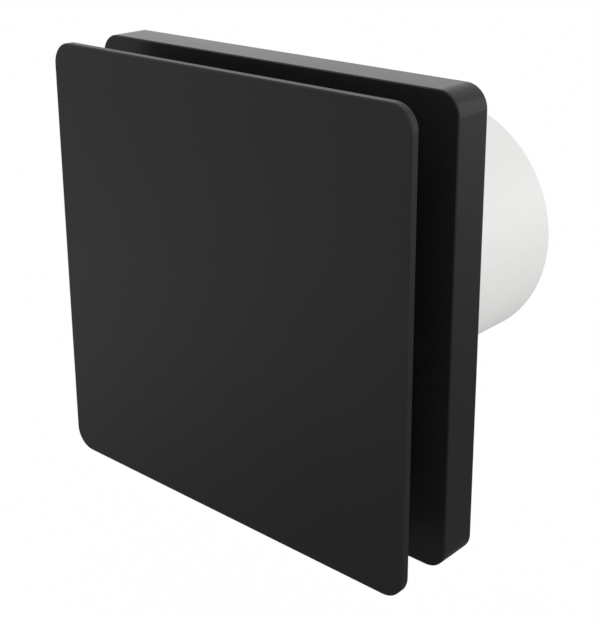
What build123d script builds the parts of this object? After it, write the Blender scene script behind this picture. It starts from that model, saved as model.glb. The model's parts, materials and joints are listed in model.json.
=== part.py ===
"""Wall-mounted bathroom extractor fan with a flat front panel, for 100 mm duct.

Axes: +X to the right seen from the room, +Y along the duct into the wall, +Z up.
The origin is on the duct axis, at the face of the wall. All sizes are in millimetres.
Every sub-part is written to parts/NODE.step.
"""

from build123d import *
import os
from math import cos, radians, sin, sqrt

# ---- Fits and general clearances -----------------------------------------------------------------
RUN_CLEAR = 0.08            # radial, a shaft or pin that turns or slides in a hole
SEAT_CLEAR = 0.05           # radial, a piece pushed into its seat
HOLE_CLEAR = 0.25           # radial, a screw through a clearance hole
GAP = 0.3                   # pieces that face each other without a fit
OVERLAP = 0.5               # how far two shapes of one solid run into each other
WAY_OUT = 1.0               # how far a cutting shape runs past what it cuts

# ---- Fan body: spigot and wall plate -------------------------------------------------------------
SPIGOT_R = 49.0
SPIGOT_WALL = 2.5
SPIGOT_LENGTH = 93.0        # from the wall's face to the open end
PLATE_THICK = 2.5
PLATE_CLEAR = 0.8           # from the plate's edge to the frame's inner wall
RIM_THICK = 1.6
RIM_HEIGHT = 5.0
LIP_CLEAR = 0.3             # from the spigot's lip to the back of the frame's inlet
LEDGE_HEIGHT = 1.2          # the two stop ledges in the spigot's bore
LEDGE_THICK = 1.6

# ---- Frame ---------------------------------------------------------------------------------------
SIDE_BAY = 27.5             # from the rim of the inlet to the frame's outer side
FRAME_WALL = 2.0
FRAME_CORNER_R = 7.6
FRAME_EDGE_R = 0.5          # rounding of the frame's front edge
BELL_R = 6.0                # rolled lip of the air inlet
FRAME_SCREW_INSET = 7.5     # from the rim of the inlet to the frame screws
WALL_HOLE_INSET = 12.0      # from the frame's outer side to the wall slots
WALL_SLOT_WIDTH = 4.5
WALL_SLOT_LENGTH = 9.0

# ---- Front panel and its studs -------------------------------------------------------------------
PANEL_OVERHANG = 0.0        # how far the panel reaches past the frame, on each side
PANEL_THICK = 3.0
PANEL_CORNER_R = 8.0
PANEL_EDGE = 0.4            # chamfer round the front edge
AIR_GAP = 19.7              # slot between the panel and the frame
STUD_INSET = 23.0           # from the frame's outer side to a stud
STUD_FOOT_R = 9.0
STUD_FOOT_THICK = 1.8
STUD_NECK_R = 4.5
STUD_PIN_R = 2.9
STUD_RIB_THICK = 1.2
STUD_RIB_REACH = 7.2
STUD_RIB_SHORT = 3.0        # how far the ribs stop before the end of the neck
STUD_TIP_ROUNDING = 0.6     # as a share of the pin's radius
BUSH_WALL = 1.5
BUSH_FLANGE = 1.5           # how far the bush's flange stands out
BUSH_FLANGE_THICK = 1.2
SOCKET_WALL = 1.8
SOCKET_TO_PLATE = 3.0

# ---- Mains connection ----------------------------------------------------------------------------
TERMINAL_WIDTH = 16.0
TERMINAL_HEIGHT = 8.0
TERMINAL_WALL = 1.4
TERMINAL_PITCH = 8.0
TERMINAL_COUNT = 3
TERMINAL_END = 2.0          # of the block, past its first and last pitch
TERMINAL_GROOVE = 1.0       # between two terminals, its width
TERMINAL_GROOVE_DEPTH = 1.5
WIRE_HEIGHT = 3.1           # of the wire bores above the plate
CLAMP_SIDE = 4.6
CLAMP_BORE_R = 1.3
TERMINAL_SCREW_R = 1.1
TERMINAL_HEAD_R = 1.7
TERMINAL_HEAD_SUNK = 0.4
COVER_WALL = 1.2
COVER_CLEAR = 0.5
COVER_CORNER_R = 1.5
COVER_TO_INLET = 2.8        # from the rim of the inlet to the terminal cover
CORD_CLAMP_DROP = 7.3       # from the terminal cover to the cord clamp
CORD_CLAMP_WIDTH = 5.0
CORD_CLAMP_THICK = 2.2
CORD_CLAMP_SPAN = 11.0      # between its two screws
CORD_CLAMP_TOOTH = 0.7
CORD_POST_R = 2.6
CORD_POST_HEIGHT = 4.6
GROMMET_DROP = 1.1          # from the cord clamp to the grommet
GROMMET_BORE_R = 3.5
GROMMET_WALL = 1.6
GROMMET_FLANGE = 1.8
GROMMET_FLANGE_THICK = 1.4
GROMMET_RIM_CLEAR = 0.4     # from its flange to the plate's rim

# ---- Screws --------------------------------------------------------------------------------------
SCREW_R = 1.45              # 2.9 mm self-tapping
SCREW_HEAD_R = 2.8
SCREW_HEAD = 1.9
SCREW_COVER = 4.5           # from the tip of a frame screw to the wall's face
BOSS_R = 3.5
SMALL_SCREW_R = 1.0
SMALL_HEAD_R = 1.6
SMALL_HEAD = 1.3
SMALL_SCREW_LENGTH = 7.0
SLOT_WIDTH = 0.7            # of the cross in a screw's head
SLOT_DEPTH = 0.6
SLOT_REACH = 0.6            # of the cross, as a share of the head's radius
HEAD_ROUNDING = 0.45        # as a share of the head's height
TIP_FLAT_R = 0.15

# ---- Motor ---------------------------------------------------------------------------------------
MOTOR_R = 16.6
MOTOR_LENGTH = 29.0
CASE_WALL = 1.2
CASE_END = 1.6
CASE_EDGE_R = 1.0
CASE_VENT_R = 1.3
POCKET_WALL = 1.5           # round a bearing
SHAFT_R = 1.5
SHAFT_EDGE = 0.3
SHAFT_HOLE_CLEAR = 0.7
BEARING_R = 5.0
BEARING_WIDTH = 4.0
RACE_THICK = 0.9
RACE_GROOVE_R = 0.55
BALL_COUNT = 7
BALL_CLEAR = 0.02
END_TURN_ROOM = 2.4         # from a bearing to the stack
ROTOR_AIR_GAP = 0.4
ROTOR_OVERHANG = 0.5
ROTOR_RING_THICK = 1.2
ROTOR_RING_WIDTH = 2.4
ROTOR_RING_INSET = 0.6
ROTOR_BARS = 12
ROTOR_BAR_R = 0.7
POLES = 4
POLE_WIDTH = 5.0
SHOE_THICK = 1.1
SHOE_ARC = 62.0             # degrees
YOKE_THICK = 2.2
WINDING_DEPTH = 3.45        # from the shoes to the yoke
COIL_THICK = 1.8
COIL_CLEAR = 0.1
COIL_ROUNDING = 0.8         # as a share of the coil's thickness

# ---- Motor carrier -------------------------------------------------------------------------------
DAMPER_THICK = 2.0          # rubber between the motor and its cup
DAMPER_LIP = 1.1
DAMPER_LIP_WIDTH = 4.6
CUP_WALL = 3.4
CUP_BACK_WALL = 1.6
CUP_EDGE_R = 4.0
CARRIER_WALL = 1.5
CARRIER_LEAD_IN = 1.0       # how far the ring starts before the cup
VANE_COUNT = 5              # the first is the straight channel for the leads
VANE_THICK = 1.8
VANE_SWEEP = 5.0            # sideways, from a vane's back edge to its front edge
VANE_BOW = 1.5              # sideways, at the vane's middle
VANE_INSET = 1.5
RETAINER_THICK = 1.6
RETAINER_HOLE_R = 6.5
RETAINER_SCREWS = 3
RETAINER_WINDOW = 9.0
RETAINER_WINDOW_WIDTH = 3.0

# ---- Impeller ------------------------------------------------------------------------------------
BLADE_COUNT = 7
TIP_CLEAR = 1.7             # from the blade tips to the spigot's bore
HUB_RECESS = 5.0            # from the frame's front to the hub's
HUB_LENGTH = 21.5
HUB_WALL = 1.6
HUB_NOSE_R = 6.0
HUB_BOSS_R = 4.0
HUB_BOSS_SHORT = 2.0
HUB_RIBS = 6
HUB_RIB_THICK = 1.2
HUB_RIB_SHORT = 5.0
HUB_TO_SCREWS = 3.1         # from the hub's back to the retainer screws
NUT_R = 4.3
NUT_THICK = 0.8
NUT_CLEAR = 0.5
NUT_DEPTH = 2.6             # its seat below the hub's front
NUT_TEETH = 6
SHAFT_PAST_NUT = 0.8
BLADE_SETBACK = 9.0         # from the hub's back to the middle of the blades
ROOT_CHORD = 19.0
MID_CHORD = 24.0
TIP_CHORD = 29.0
ROOT_PITCH = 50.0           # degrees, from the plane that the tips turn in
MID_PITCH = 37.0
TIP_PITCH = 28.0
BLADE_THICK = 1.8
BLADE_EDGE = 0.7
BLADE_CAMBER = 1.8

# ---- Motor leads ---------------------------------------------------------------------------------
LEAD_R = 0.8
LEAD_SPREAD = 1.1           # each side of the middle of the channel
LEAD_CLEAR = 0.4
LEAD_BEND_R = 2.4
LEAD_BEND_TIGHT_R = 1.2
LEAD_BEND_EASY_R = 1.6
LEAD_STRIP = 3.0            # how far a lead goes into its terminal
LEAD_LEAVE = 3.5            # straight, before the first bend
LEAD_INSIDE = 2.0           # how far a lead goes into the motor's case
LEAD_BEHIND_STACK = 2.6
CHANNEL_HALF = 2.5
CHANNEL_DEPTH = 1.7
STRUT_WALL = 1.2

# ---- Backdraught shutter -------------------------------------------------------------------------
SHUTTER_LENGTH = 15.5
SHUTTER_RECESS = 1.5        # from the spigot's open end
SHUTTER_WALL = 1.8
SEAT_HEIGHT = 2.65
SEAT_SETBACK = 3.0
SEAT_THICK = 1.5
POST_HALF_WIDTH = 1.2
FLAP_THICK = 1.0
FLAP_CLEAR = 0.5            # from a flap's round edge to the ring
FLAP_SPLIT = 0.6            # half the slit between the flaps
FLAP_RIBS = (0.42, 0.72)    # where a flap's ribs are, as shares of its radius
FLAP_RIB = 1.0
PIN_R = 1.0
KNUCKLE_WALL = 0.92
KNUCKLE_LENGTH = 9.0
KNUCKLE_FROM_EAR = 8.0
EAR_WALL = 1.4
EAR_REACH = 2.6
EAR_ROOM = 1.8              # beside an ear, for the flap's edge as it swings
SPRING_WIRE_R = 0.25
SPRING_TURNS = 6
SPRING_LEG = 12.0
SPRING_CLEAR = 0.1

# ---- Radii and sides that follow -----------------------------------------------------------------
BORE_R = SPIGOT_R - SPIGOT_WALL
INLET_R = BORE_R + BELL_R
FRAME_HALF = INLET_R + SIDE_BAY
FRAME_SIDE = 2 * FRAME_HALF
PANEL_SIDE = FRAME_SIDE + 2 * PANEL_OVERHANG
PLATE_SIDE = FRAME_SIDE - 2 * (FRAME_WALL + PLATE_CLEAR)
PLATE_CORNER_R = FRAME_CORNER_R - FRAME_WALL - PLATE_CLEAR
STUD_OFFSET = FRAME_HALF - STUD_INSET
WALL_HOLE_OFFSET = FRAME_HALF - WALL_HOLE_INSET
FRAME_SCREW_Z = INLET_R + FRAME_SCREW_INSET
BUSH_BORE_R = STUD_PIN_R + RUN_CLEAR
BUSH_R = BUSH_BORE_R + BUSH_WALL
SOCKET_BORE_R = BUSH_R + SEAT_CLEAR
CUP_BORE_R = MOTOR_R + DAMPER_THICK
CUP_R = CUP_BORE_R + CUP_WALL
HUB_R = CUP_R
TIP_R = BORE_R - TIP_CLEAR
CARRIER_R = BORE_R - SEAT_CLEAR
CARRIER_BORE_R = CARRIER_R - CARRIER_WALL
RETAINER_SCREW_R = (CUP_R + CUP_BORE_R) / 2
CORE_R = MOTOR_R - CASE_WALL - SEAT_CLEAR
WINDING_R = CORE_R - YOKE_THICK
SHOE_R = WINDING_R - WINDING_DEPTH
POLE_FACE_R = SHOE_R - SHOE_THICK
ROTOR_R = POLE_FACE_R - ROTOR_AIR_GAP
SHUTTER_R = BORE_R - SEAT_CLEAR
SHUTTER_BORE_R = SHUTTER_R - SHUTTER_WALL
SEAT_R = SHUTTER_BORE_R - SEAT_HEIGHT
FLAP_R = SHUTTER_BORE_R - FLAP_CLEAR
KNUCKLE_BORE_R = PIN_R + RUN_CLEAR
KNUCKLE_R = KNUCKLE_BORE_R + KNUCKLE_WALL
EAR_HALF_WIDTH = PIN_R + EAR_WALL
EAR_Z = SHUTTER_BORE_R - EAR_REACH
KNUCKLE_PAIR_Z = EAR_Z - KNUCKLE_FROM_EAR - KNUCKLE_LENGTH
GROMMET_R = GROMMET_BORE_R + GROMMET_WALL

# ---- Places along Y that follow ------------------------------------------------------------------
PLATE_Y = -PLATE_THICK
TERMINAL_Y = PLATE_Y - TERMINAL_HEIGHT
COVER_Y = TERMINAL_Y - COVER_CLEAR - COVER_WALL
FACE_BACK_Y = COVER_Y - GAP
FRAME_Y = FACE_BACK_Y - FRAME_WALL
PANEL_BACK_Y = FRAME_Y - AIR_GAP
PANEL_Y = PANEL_BACK_Y - PANEL_THICK
LIP_Y = FRAME_Y + BELL_R + LIP_CLEAR
SOCKET_BACK_Y = PLATE_Y - SOCKET_TO_PLATE
STUD_NECK_Y = FRAME_Y - BUSH_FLANGE_THICK - GAP
WIRE_Y = PLATE_Y - WIRE_HEIGHT
CORD_POST_Y = PLATE_Y - CORD_POST_HEIGHT
HUB_Y = FRAME_Y + HUB_RECESS
HUB_BACK_Y = HUB_Y + HUB_LENGTH
NUT_BACK_Y = HUB_Y + NUT_DEPTH
RETAINER_Y = HUB_BACK_Y + HUB_TO_SCREWS + SMALL_HEAD
CUP_Y = RETAINER_Y + RETAINER_THICK
CARRIER_Y = CUP_Y - CARRIER_LEAD_IN
MOTOR_Y = CUP_Y + DAMPER_LIP + GAP
MOTOR_BACK_Y = MOTOR_Y + MOTOR_LENGTH
MOTOR_MIDDLE_Y = (MOTOR_Y + MOTOR_BACK_Y) / 2
BEARING_Y = MOTOR_Y + CASE_END
BEARING_STEP = MOTOR_LENGTH - 2 * CASE_END - BEARING_WIDTH
STACK_Y = BEARING_Y + BEARING_WIDTH + END_TURN_ROOM
STACK_BACK_Y = BEARING_Y + BEARING_STEP - END_TURN_ROOM
LEAD_TURN_Y = STACK_BACK_Y + LEAD_BEHIND_STACK
CUP_FLOOR_Y = MOTOR_BACK_Y + DAMPER_LIP + GAP
CARRIER_BACK_Y = LEAD_TURN_Y + LEAD_R + LEAD_CLEAR + 2 * LEAD_R + SEAT_CLEAR
STRUT_FLOOR_Y = LEAD_TURN_Y - LEAD_R - LEAD_CLEAR
SHUTTER_Y = SPIGOT_LENGTH - SHUTTER_RECESS - SHUTTER_LENGTH
SHUTTER_BACK_Y = SHUTTER_Y + SHUTTER_LENGTH
SEAT_Y = SHUTTER_Y + SEAT_SETBACK
SEAT_BACK_Y = SEAT_Y + SEAT_THICK
FLAP_Y = SEAT_BACK_Y + GAP
FLAP_BACK_Y = FLAP_Y + FLAP_THICK
PIN_Y = FLAP_BACK_Y + KNUCKLE_R

# ---- Places of the mains connection --------------------------------------------------------------
TERMINAL_X = INLET_R + COVER_TO_INLET + COVER_WALL + COVER_CLEAR + TERMINAL_WIDTH / 2
TERMINAL_LEFT_X = TERMINAL_X - TERMINAL_WIDTH / 2
TERMINAL_RIGHT_X = TERMINAL_X + TERMINAL_WIDTH / 2
TERMINAL_HALF = TERMINAL_PITCH * TERMINAL_COUNT / 2 + TERMINAL_END
COVER_HALF = TERMINAL_HALF + COVER_CLEAR + COVER_WALL
CORD_CLAMP_Z = -COVER_HALF - CORD_CLAMP_DROP - CORD_CLAMP_WIDTH / 2
CORD_HOLE_Z = CORD_CLAMP_Z - CORD_CLAMP_WIDTH / 2 - GROMMET_DROP - GROMMET_R - GROMMET_FLANGE

CORNERS = {"top_right": (1, 1), "top_left": (-1, 1), "bottom_left": (-1, -1), "bottom_right": (1, -1)}


# ---- Shapes along the duct axis ------------------------------------------------------------------
def bar(sketch, y0, y1):
    """A sketch drawn with X right and Z up, extruded from y0 to y1."""
    plane = Plane(origin=(0, y1, 0), x_dir=(1, 0, 0), z_dir=(0, -1, 0))
    return extrude(plane * sketch, amount=y1 - y0)


def disc(r, y0, y1, x=0.0, z=0.0):
    return bar(Pos(x, z) * Circle(r), y0, y1)


def ring(outer, inner, y0, y1, x=0.0, z=0.0):
    return bar(Pos(x, z) * (Circle(outer) - Circle(inner)), y0, y1)


def square(side, corner, y0, y1):
    return bar(RectangleRounded(side, side, corner), y0, y1)


def block(x0, x1, y0, y1, z0, z1):
    middle = Pos((x0 + x1) / 2, (y0 + y1) / 2, (z0 + z1) / 2)
    return middle * Box(x1 - x0, y1 - y0, z1 - z0)


def turned(*edges):
    """A closed outline in (radius, y), turned about the duct axis."""
    return revolve(make_face(edges), Axis.Y)


def quarter_arc(centre_r, centre_y, r):
    """A quarter of a circle, from its point nearest the room to its point nearest the axis."""
    turn = r / sqrt(2)
    middle = (centre_r - turn, centre_y - turn)
    return ThreePointArc((centre_r, centre_y - r), middle, (centre_r - r, centre_y))


def facing_out(radius, y=0.0):
    """A plane across a radius at +X: its x runs along -Z, its y along +Y."""
    return Plane(origin=(radius, y, 0), x_dir=(0, 0, -1), z_dir=(1, 0, 0))


def around(shape, count, start=0.0):
    """Copies of a shape, evenly spaced about the duct axis."""
    return [Rot(0, start + i * 360.0 / count, 0) * shape for i in range(count)]


def round_edges(shape):
    """The circular edges of a turned shape, from the room's end to the duct's end."""
    return shape.edges().filter_by(GeomType.CIRCLE).sort_by(Axis.Y)


def screw(x, z, seat_y, length, shank_r, head_r, head_height):
    """A pan-head screw driven along +Y. Its head lies on seat_y."""
    front = seat_y - head_height
    head = disc(head_r, front, seat_y)
    head = fillet(round_edges(head)[0], head_height * HEAD_ROUNDING)
    for turn in (0, 90):
        half = head_r * SLOT_REACH
        slot = block(-half, half, front, front + SLOT_DEPTH, -SLOT_WIDTH / 2, SLOT_WIDTH / 2)
        head -= Rot(0, turn, 0) * slot
    cone_y = seat_y + length - shank_r
    shank = disc(shank_r, seat_y, cone_y)
    tip = Pos(0, cone_y + shank_r / 2, 0) * Rot(-90, 0, 0) * Cone(shank_r, TIP_FLAT_R, shank_r)
    return Pos(x, 0, z) * (head + shank + tip)


def save(name, *shapes):
    """Writes one node: its solids, which may be several separate ones."""
    solids = [s for shape in shapes for s in shape.solids()]
    export_step(solids[0] if len(solids) == 1 else Compound(children=solids), f"parts/{name}.step")


# ---- Front panel and studs -----------------------------------------------------------------------
def front_panel():
    panel = square(PANEL_SIDE, PANEL_CORNER_R, PANEL_Y, PANEL_BACK_Y)
    front = panel.faces().sort_by(Axis.Y)[0]
    return chamfer(front.edges(), PANEL_EDGE)


def stud_rib():
    """A flat rib across the stud, wide at the foot and no wider than the neck at its end."""
    end_y = STUD_NECK_Y - STUD_RIB_SHORT
    foot_y = PANEL_BACK_Y + STUD_FOOT_THICK
    outline = Polyline(
        (-STUD_RIB_REACH, PANEL_BACK_Y), (STUD_RIB_REACH, PANEL_BACK_Y), (STUD_RIB_REACH, foot_y),
        (STUD_NECK_R, end_y), (-STUD_NECK_R, end_y), (-STUD_RIB_REACH, foot_y), close=True)
    return extrude(make_face(outline), amount=STUD_RIB_THICK / 2, both=True)


def panel_stud(x, z):
    foot = disc(STUD_FOOT_R, PANEL_BACK_Y, PANEL_BACK_Y + STUD_FOOT_THICK)
    neck = disc(STUD_NECK_R, PANEL_BACK_Y, STUD_NECK_Y)
    pin = disc(STUD_PIN_R, STUD_NECK_Y, SOCKET_BACK_Y - GAP)
    pin = fillet(round_edges(pin)[-1], STUD_PIN_R * STUD_TIP_ROUNDING)
    stud = foot + neck + pin + stud_rib() + Rot(0, 90, 0) * stud_rib()
    return Pos(x, 0, z) * stud


def stud_bush(x, z):
    sleeve = ring(BUSH_R, BUSH_BORE_R, FRAME_Y, SOCKET_BACK_Y, x, z)
    return sleeve + ring(BUSH_R + BUSH_FLANGE, BUSH_BORE_R, FRAME_Y - BUSH_FLANGE_THICK, FRAME_Y, x, z)


# ---- Frame ---------------------------------------------------------------------------------------
def inlet_bell():
    """The rolled lip that leads the air from the frame's face into the spigot."""
    centre_y = FRAME_Y + BELL_R
    back_r = BELL_R - FRAME_WALL
    front_arc = quarter_arc(INLET_R, centre_y, BELL_R)
    back_arc = quarter_arc(INLET_R, centre_y, back_r)
    end = Line(front_arc @ 1, back_arc @ 1)
    root = Polyline(
        back_arc @ 0, (INLET_R + OVERLAP, centre_y - back_r), (INLET_R + OVERLAP, FRAME_Y), front_arc @ 0)
    return turned(front_arc, end, back_arc, root)


def frame_cover():
    shell = square(FRAME_SIDE, FRAME_CORNER_R, FRAME_Y, 0)
    shell = fillet(shell.faces().sort_by(Axis.Y)[0].edges(), FRAME_EDGE_R)
    shell -= square(FRAME_SIDE - 2 * FRAME_WALL, FRAME_CORNER_R - FRAME_WALL, FACE_BACK_Y, WAY_OUT)
    shell -= disc(INLET_R, FRAME_Y - WAY_OUT, WAY_OUT)
    shell += inlet_bell()
    for sx, sz in CORNERS.values():
        x, z = sx * STUD_OFFSET, sz * STUD_OFFSET
        shell += disc(SOCKET_BORE_R + SOCKET_WALL, FACE_BACK_Y - OVERLAP, SOCKET_BACK_Y, x, z)
        shell -= disc(SOCKET_BORE_R, FRAME_Y - WAY_OUT, WAY_OUT, x, z)
    for z in (FRAME_SCREW_Z, -FRAME_SCREW_Z):
        shell -= disc(SCREW_R + HOLE_CLEAR, FRAME_Y - WAY_OUT, 0, 0, z)
    return shell


def frame_screws():
    made = screw(0, FRAME_SCREW_Z, FRAME_Y, -SCREW_COVER - FRAME_Y, SCREW_R, SCREW_HEAD_R, SCREW_HEAD)
    return [made, Pos(0, 0, -2 * FRAME_SCREW_Z) * made]


# ---- Fan body ------------------------------------------------------------------------------------
def frame_boss(z):
    """A post of the wall plate, with the pilot hole of one frame screw."""
    front = FACE_BACK_Y + GAP
    return disc(BOSS_R, front, PLATE_Y, 0, z) - disc(SCREW_R + SEAT_CLEAR, front, GAP - SCREW_COVER, 0, z)


def cord_post(side):
    x = TERMINAL_X + side * CORD_CLAMP_SPAN / 2
    return ring(CORD_POST_R, SMALL_SCREW_R + SEAT_CLEAR, CORD_POST_Y, PLATE_Y, x, CORD_CLAMP_Z)


def wall_slots():
    slot = SlotOverall(WALL_SLOT_LENGTH, WALL_SLOT_WIDTH)
    return [
        bar(Pos(sx * WALL_HOLE_OFFSET, sz * WALL_HOLE_OFFSET) * slot, PLATE_Y - WAY_OUT, WAY_OUT)
        for sx, sz in CORNERS.values()]


def lead_channel():
    """A groove in the spigot's bore, and a notch in its lip, for the two motor leads."""
    inside = BORE_R - SPIGOT_WALL
    front = LIP_Y - WAY_OUT
    groove = block(inside, BORE_R + CHANNEL_DEPTH, front, CARRIER_BACK_Y, -CHANNEL_HALF, CHANNEL_HALF)
    notch = block(inside, SPIGOT_R + WAY_OUT, front, PLATE_Y - RIM_THICK, -CHANNEL_HALF, CHANNEL_HALF)
    return [groove, notch]


def entry_slot(half_width, end_x):
    """The outline of the cord's entry: round inside, and straight out to end_x."""
    reach = end_x - TERMINAL_X
    outline = Circle(half_width) + Pos(reach / 2, 0) * Rectangle(reach, 2 * half_width)
    return Pos(TERMINAL_X, CORD_HOLE_Z) * outline


def fan_body():
    body = square(PLATE_SIDE, PLATE_CORNER_R, PLATE_Y - RIM_HEIGHT, 0)
    body -= square(PLATE_SIDE - 2 * RIM_THICK, PLATE_CORNER_R - RIM_THICK, PLATE_Y - RIM_HEIGHT, PLATE_Y)
    body += disc(SPIGOT_R, LIP_Y, SPIGOT_LENGTH)
    body -= disc(BORE_R, LIP_Y, SPIGOT_LENGTH)
    for y in (CARRIER_BACK_Y, SHUTTER_Y - LEDGE_THICK):
        body += ring(BORE_R + OVERLAP, BORE_R - LEDGE_HEIGHT, y, y + LEDGE_THICK)
    body += [frame_boss(FRAME_SCREW_Z), frame_boss(-FRAME_SCREW_Z), cord_post(-1), cord_post(1)]
    body -= wall_slots() + lead_channel()
    return body - bar(entry_slot(GROMMET_R + SEAT_CLEAR, PLATE_SIDE / 2), PLATE_Y - RIM_HEIGHT, 0)


# ---- Impeller ------------------------------------------------------------------------------------
def blade_section(radius, chord, pitch):
    """A cambered blade section across a radius. Its leading edge is on the room's side."""
    half, edge = chord / 2, BLADE_EDGE / 2
    low = ThreePointArc((-half, -edge), (0, -BLADE_CAMBER - BLADE_THICK / 2), (half, -edge))
    high = ThreePointArc((half, edge), (0, -BLADE_CAMBER + BLADE_THICK / 2), (-half, edge))
    outline = make_face([low, Line(low @ 1, high @ 0), high, Line(high @ 1, low @ 0)])
    return facing_out(radius, HUB_BACK_Y - BLADE_SETBACK) * Rot(0, 0, -pitch) * outline


def impeller_blade():
    root_r = HUB_R - HUB_WALL
    end_r = TIP_R + 2 * WAY_OUT
    blade = loft([
        blade_section(root_r, ROOT_CHORD, ROOT_PITCH),
        blade_section((root_r + end_r) / 2, MID_CHORD, MID_PITCH),
        blade_section(end_r, TIP_CHORD, TIP_PITCH)])
    return blade & ring(TIP_R, HUB_R - HUB_WALL / 2, HUB_Y, HUB_BACK_Y + TIP_CHORD)


def hub_shell():
    turn = HUB_NOSE_R / sqrt(2)
    shoulder_r, shoulder_y = HUB_R - HUB_NOSE_R, HUB_Y + HUB_NOSE_R
    nose = ThreePointArc((shoulder_r, HUB_Y), (shoulder_r + turn, shoulder_y - turn), (HUB_R, shoulder_y))
    rest = Polyline(nose @ 1, (HUB_R, HUB_BACK_Y), (0, HUB_BACK_Y), (0, HUB_Y), nose @ 0)
    hollow = disc(HUB_R - HUB_WALL, NUT_BACK_Y + HUB_WALL, HUB_BACK_Y)
    return turned(nose, rest) - chamfer(round_edges(hollow)[0], HUB_NOSE_R / 2)


def impeller():
    hub = hub_shell() + disc(HUB_BOSS_R, NUT_BACK_Y, HUB_BACK_Y - HUB_BOSS_SHORT)
    rib = block(0, HUB_R - HUB_WALL / 2, NUT_BACK_Y + HUB_WALL - OVERLAP, HUB_BACK_Y - HUB_RIB_SHORT,
                -HUB_RIB_THICK / 2, HUB_RIB_THICK / 2)
    for one in around(rib, HUB_RIBS) + around(impeller_blade(), BLADE_COUNT):
        hub += one
    hub -= disc(NUT_R + NUT_CLEAR, HUB_Y, NUT_BACK_Y)
    return hub - disc(SHAFT_R + SEAT_CLEAR, HUB_Y, HUB_BACK_Y)


def impeller_nut():
    """A toothed push-on washer, which holds the impeller on the shaft."""
    front = NUT_BACK_Y - NUT_THICK
    nut = ring(NUT_R, SHAFT_R + SEAT_CLEAR, front, NUT_BACK_Y)
    slot = block(SHAFT_R + OVERLAP, NUT_R - WAY_OUT, front, NUT_BACK_Y, -GAP, GAP)
    for one in around(slot, NUT_TEETH):
        nut -= one
    return nut


# ---- Motor ---------------------------------------------------------------------------------------
def motor_shaft():
    front = NUT_BACK_Y - NUT_THICK - SHAFT_PAST_NUT
    shaft = disc(SHAFT_R, front, MOTOR_BACK_Y - CASE_END - GAP)
    return chamfer(round_edges(shaft), SHAFT_EDGE)


def case_half():
    """The front half of the motor's case: a cup with a pocket for its bearing."""
    pocket_r = BEARING_R + SEAT_CLEAR
    cup = disc(MOTOR_R, MOTOR_Y, MOTOR_MIDDLE_Y)
    cup = fillet(round_edges(cup)[0], CASE_EDGE_R)
    cup -= disc(MOTOR_R - CASE_WALL, BEARING_Y, MOTOR_MIDDLE_Y)
    cup += ring(pocket_r + POCKET_WALL, pocket_r, BEARING_Y, BEARING_Y + BEARING_WIDTH)
    vent = disc(CASE_VENT_R, MOTOR_Y, BEARING_Y, (pocket_r + POCKET_WALL + MOTOR_R) / 2, 0)
    for one in around(vent, 2 * POLES, 90.0 / POLES):
        cup -= one
    return cup


def motor_front_bell():
    return case_half() - disc(SHAFT_R + SHAFT_HOLE_CLEAR, MOTOR_Y, BEARING_Y)


def motor_rear_bell():
    bell = mirror(case_half(), Plane.XZ.offset(-MOTOR_MIDDLE_Y))
    reach = LEAD_R + LEAD_CLEAR
    return bell - block(MOTOR_R - 2 * CASE_WALL, MOTOR_R, LEAD_TURN_Y - reach, LEAD_TURN_Y + reach,
                        -CHANNEL_HALF, CHANNEL_HALF)


def stator_core():
    core = ring(CORE_R, WINDING_R, STACK_Y, STACK_BACK_Y)
    half = radians(SHOE_ARC / 2)
    far_x, far_z = 2 * SHOE_R * cos(half), 2 * SHOE_R * sin(half)
    wedge = make_face(Polyline((0, 0), (far_x, far_z), (far_x, -far_z), close=True))
    shoe = ring(SHOE_R, POLE_FACE_R, STACK_Y, STACK_BACK_Y) & bar(wedge, STACK_Y, STACK_BACK_Y)
    side = POLE_WIDTH / 2
    tooth = block(SHOE_R - OVERLAP, WINDING_R + OVERLAP, STACK_Y, STACK_BACK_Y, -side, side)
    for one in around(shoe + tooth, POLES, 180.0 / POLES):
        core += one
    return core


def stator_coils():
    inner, outer = SHOE_R + GAP, WINDING_R - GAP
    half = POLE_WIDTH / 2 + COIL_CLEAR
    front, back = STACK_Y - COIL_CLEAR, STACK_BACK_Y + COIL_CLEAR
    wide = half + COIL_THICK
    coil = block(inner, outer, front - COIL_THICK, back + COIL_THICK, -wide, wide)
    coil = fillet(coil.edges().filter_by(Axis.X), COIL_THICK * COIL_ROUNDING)
    coil -= block(inner, outer, front, back, -half, half)
    coil &= disc(outer, front - COIL_THICK, back + COIL_THICK)
    return around(coil, POLES, 180.0 / POLES)


def rotor_core():
    front, back = STACK_Y - ROTOR_OVERHANG, STACK_BACK_Y + ROTOR_OVERHANG
    core = ring(ROTOR_R, SHAFT_R + SEAT_CLEAR, front, back)
    outer = ROTOR_R - ROTOR_RING_INSET
    for y in (front - ROTOR_RING_THICK, back):
        core += ring(outer, outer - ROTOR_RING_WIDTH, y, y + ROTOR_RING_THICK)
    slot = disc(ROTOR_BAR_R, front + WAY_OUT, back - WAY_OUT, ROTOR_R, 0)
    for one in around(slot, ROTOR_BARS):
        core -= one
    return core


def at_both_bearings(shapes):
    """The shapes of the front bearing, and the same again at the rear one."""
    return shapes + [Pos(0, BEARING_STEP, 0) * one for one in shapes]


def bearing_race(inner_r, groove_r):
    """One race, with the groove that its balls run in at groove_r."""
    race = ring(inner_r + RACE_THICK, inner_r, BEARING_Y, BEARING_Y + BEARING_WIDTH)
    groove = Pos(groove_r, BEARING_Y + BEARING_WIDTH / 2) * Circle(RACE_GROOVE_R)
    return race - revolve(groove, Axis.Y)


def bearing_outer_races():
    inner_r = BEARING_R - RACE_THICK
    return at_both_bearings([bearing_race(inner_r, inner_r)])


def bearing_inner_races():
    inner_r = SHAFT_R + SEAT_CLEAR
    return at_both_bearings([bearing_race(inner_r, inner_r + RACE_THICK)])


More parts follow.
